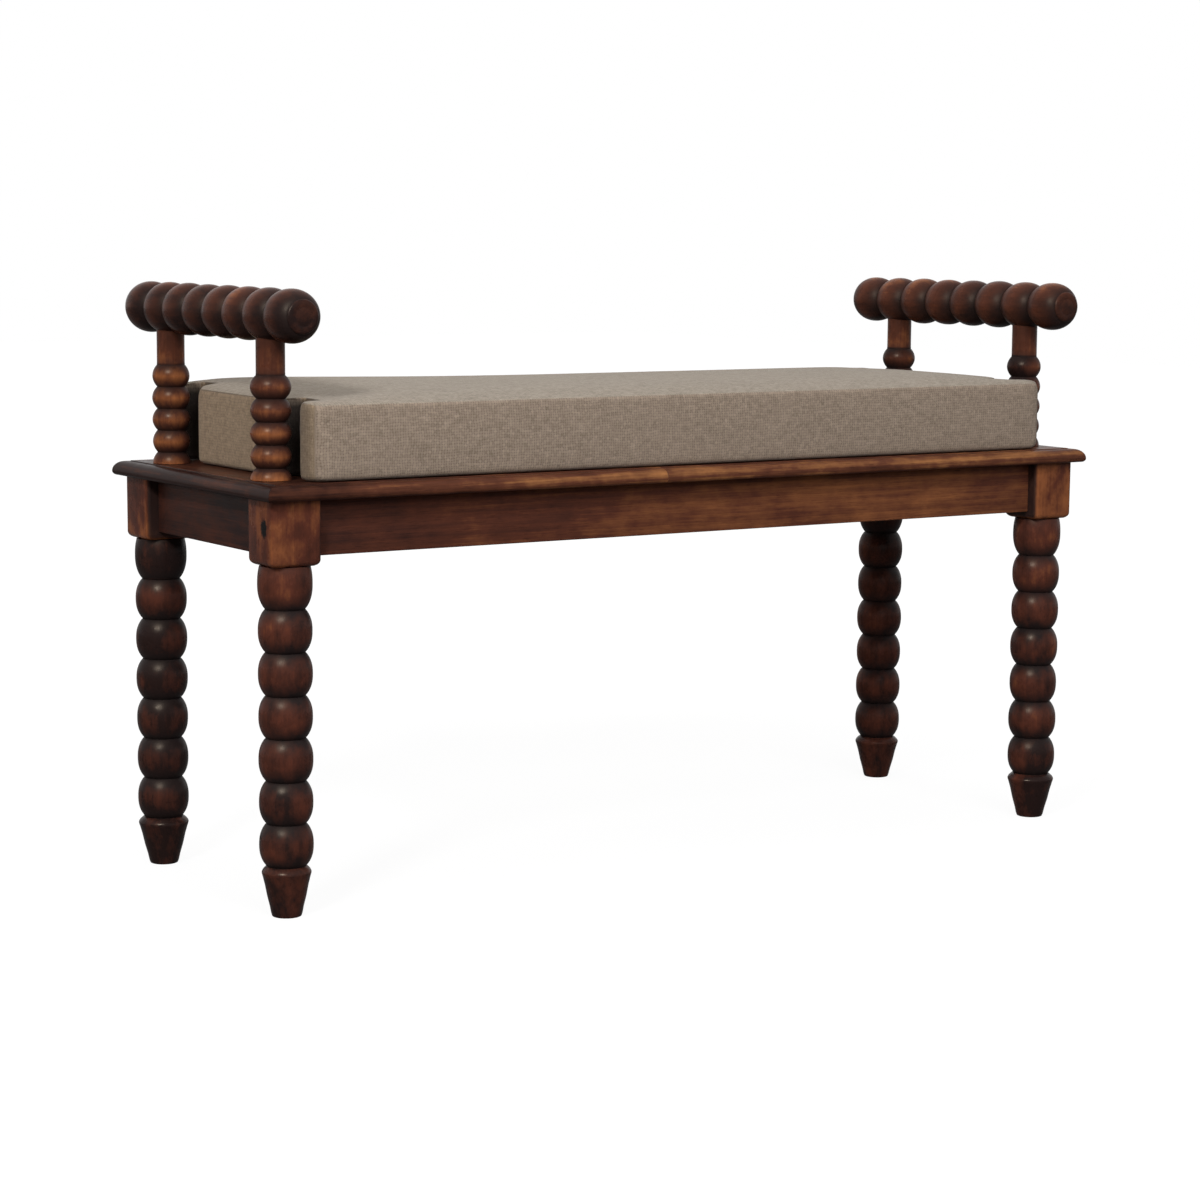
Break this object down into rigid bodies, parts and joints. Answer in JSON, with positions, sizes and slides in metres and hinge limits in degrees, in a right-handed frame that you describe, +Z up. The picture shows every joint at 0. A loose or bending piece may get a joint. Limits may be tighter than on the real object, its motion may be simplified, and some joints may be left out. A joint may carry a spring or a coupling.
{
  "type": "window bench",
  "caption": "Low window bench with bobbin-turned legs, a moulded seat board, turned arm rails on beaded posts and a loose box cushion.",
  "frame": {"origin": "on the floor, under the middle of the seat", "axes": "+X along the bench towards its right end, +Y towards its back, so the front faces -Y, and +Z up"},
  "size_m": [1, 0.357, 0.5938],
  "materials": {
    "leg_wood": "dark walnut stain under satin varnish",
    "apron_wood": "dark walnut stain under satin varnish",
    "seat_wood": "chestnut stain under satin varnish",
    "arm_wood": "dark walnut stain under satin varnish",
    "brace_wood": "unstained, sawn",
    "screw_steel": "zinc plated",
    "cushion_foam": "soft open-cell foam",
    "cushion_linen": "coarse natural linen with slubs"
  },
  "bodies": {
    "bench": {"leg_front_left": "leg_wood", "leg_front_right": "leg_wood", "leg_rear_left": "leg_wood", "leg_rear_right": "leg_wood", "apron_front": "apron_wood", "apron_rear": "apron_wood", "apron_left": "apron_wood", "apron_right": "apron_wood", "corner_brace_front_left": "brace_wood", "corner_brace_front_right": "brace_wood", "corner_brace_rear_left": "brace_wood", "corner_brace_rear_right": "brace_wood", "brace_screws": "screw_steel", "seat_screws": "screw_steel", "border_rail_front_left": "seat_wood", "border_rail_front_right": "seat_wood", "border_rail_rear": "seat_wood", "border_rail_left": "seat_wood", "border_rail_right": "seat_wood", "panel_board_front": "seat_wood", "panel_board_middle": "seat_wood", "panel_board_rear": "seat_wood", "arm_post_front_left": "arm_wood", "arm_post_front_right": "arm_wood", "arm_post_rear_left": "arm_wood", "arm_post_rear_right": "arm_wood", "arm_rail_left": "arm_wood", "arm_rail_right": "arm_wood"},
    "cushion": {"cushion_foam": "cushion_foam", "cushion_cover": "cushion_linen"}
  },
  "joints": [
    {"name": "cushion_lift", "type": "slide", "parent": "bench", "child": "cushion", "axis": [0, 0, 1], "range_m": [0, 0.06]}
  ]
}
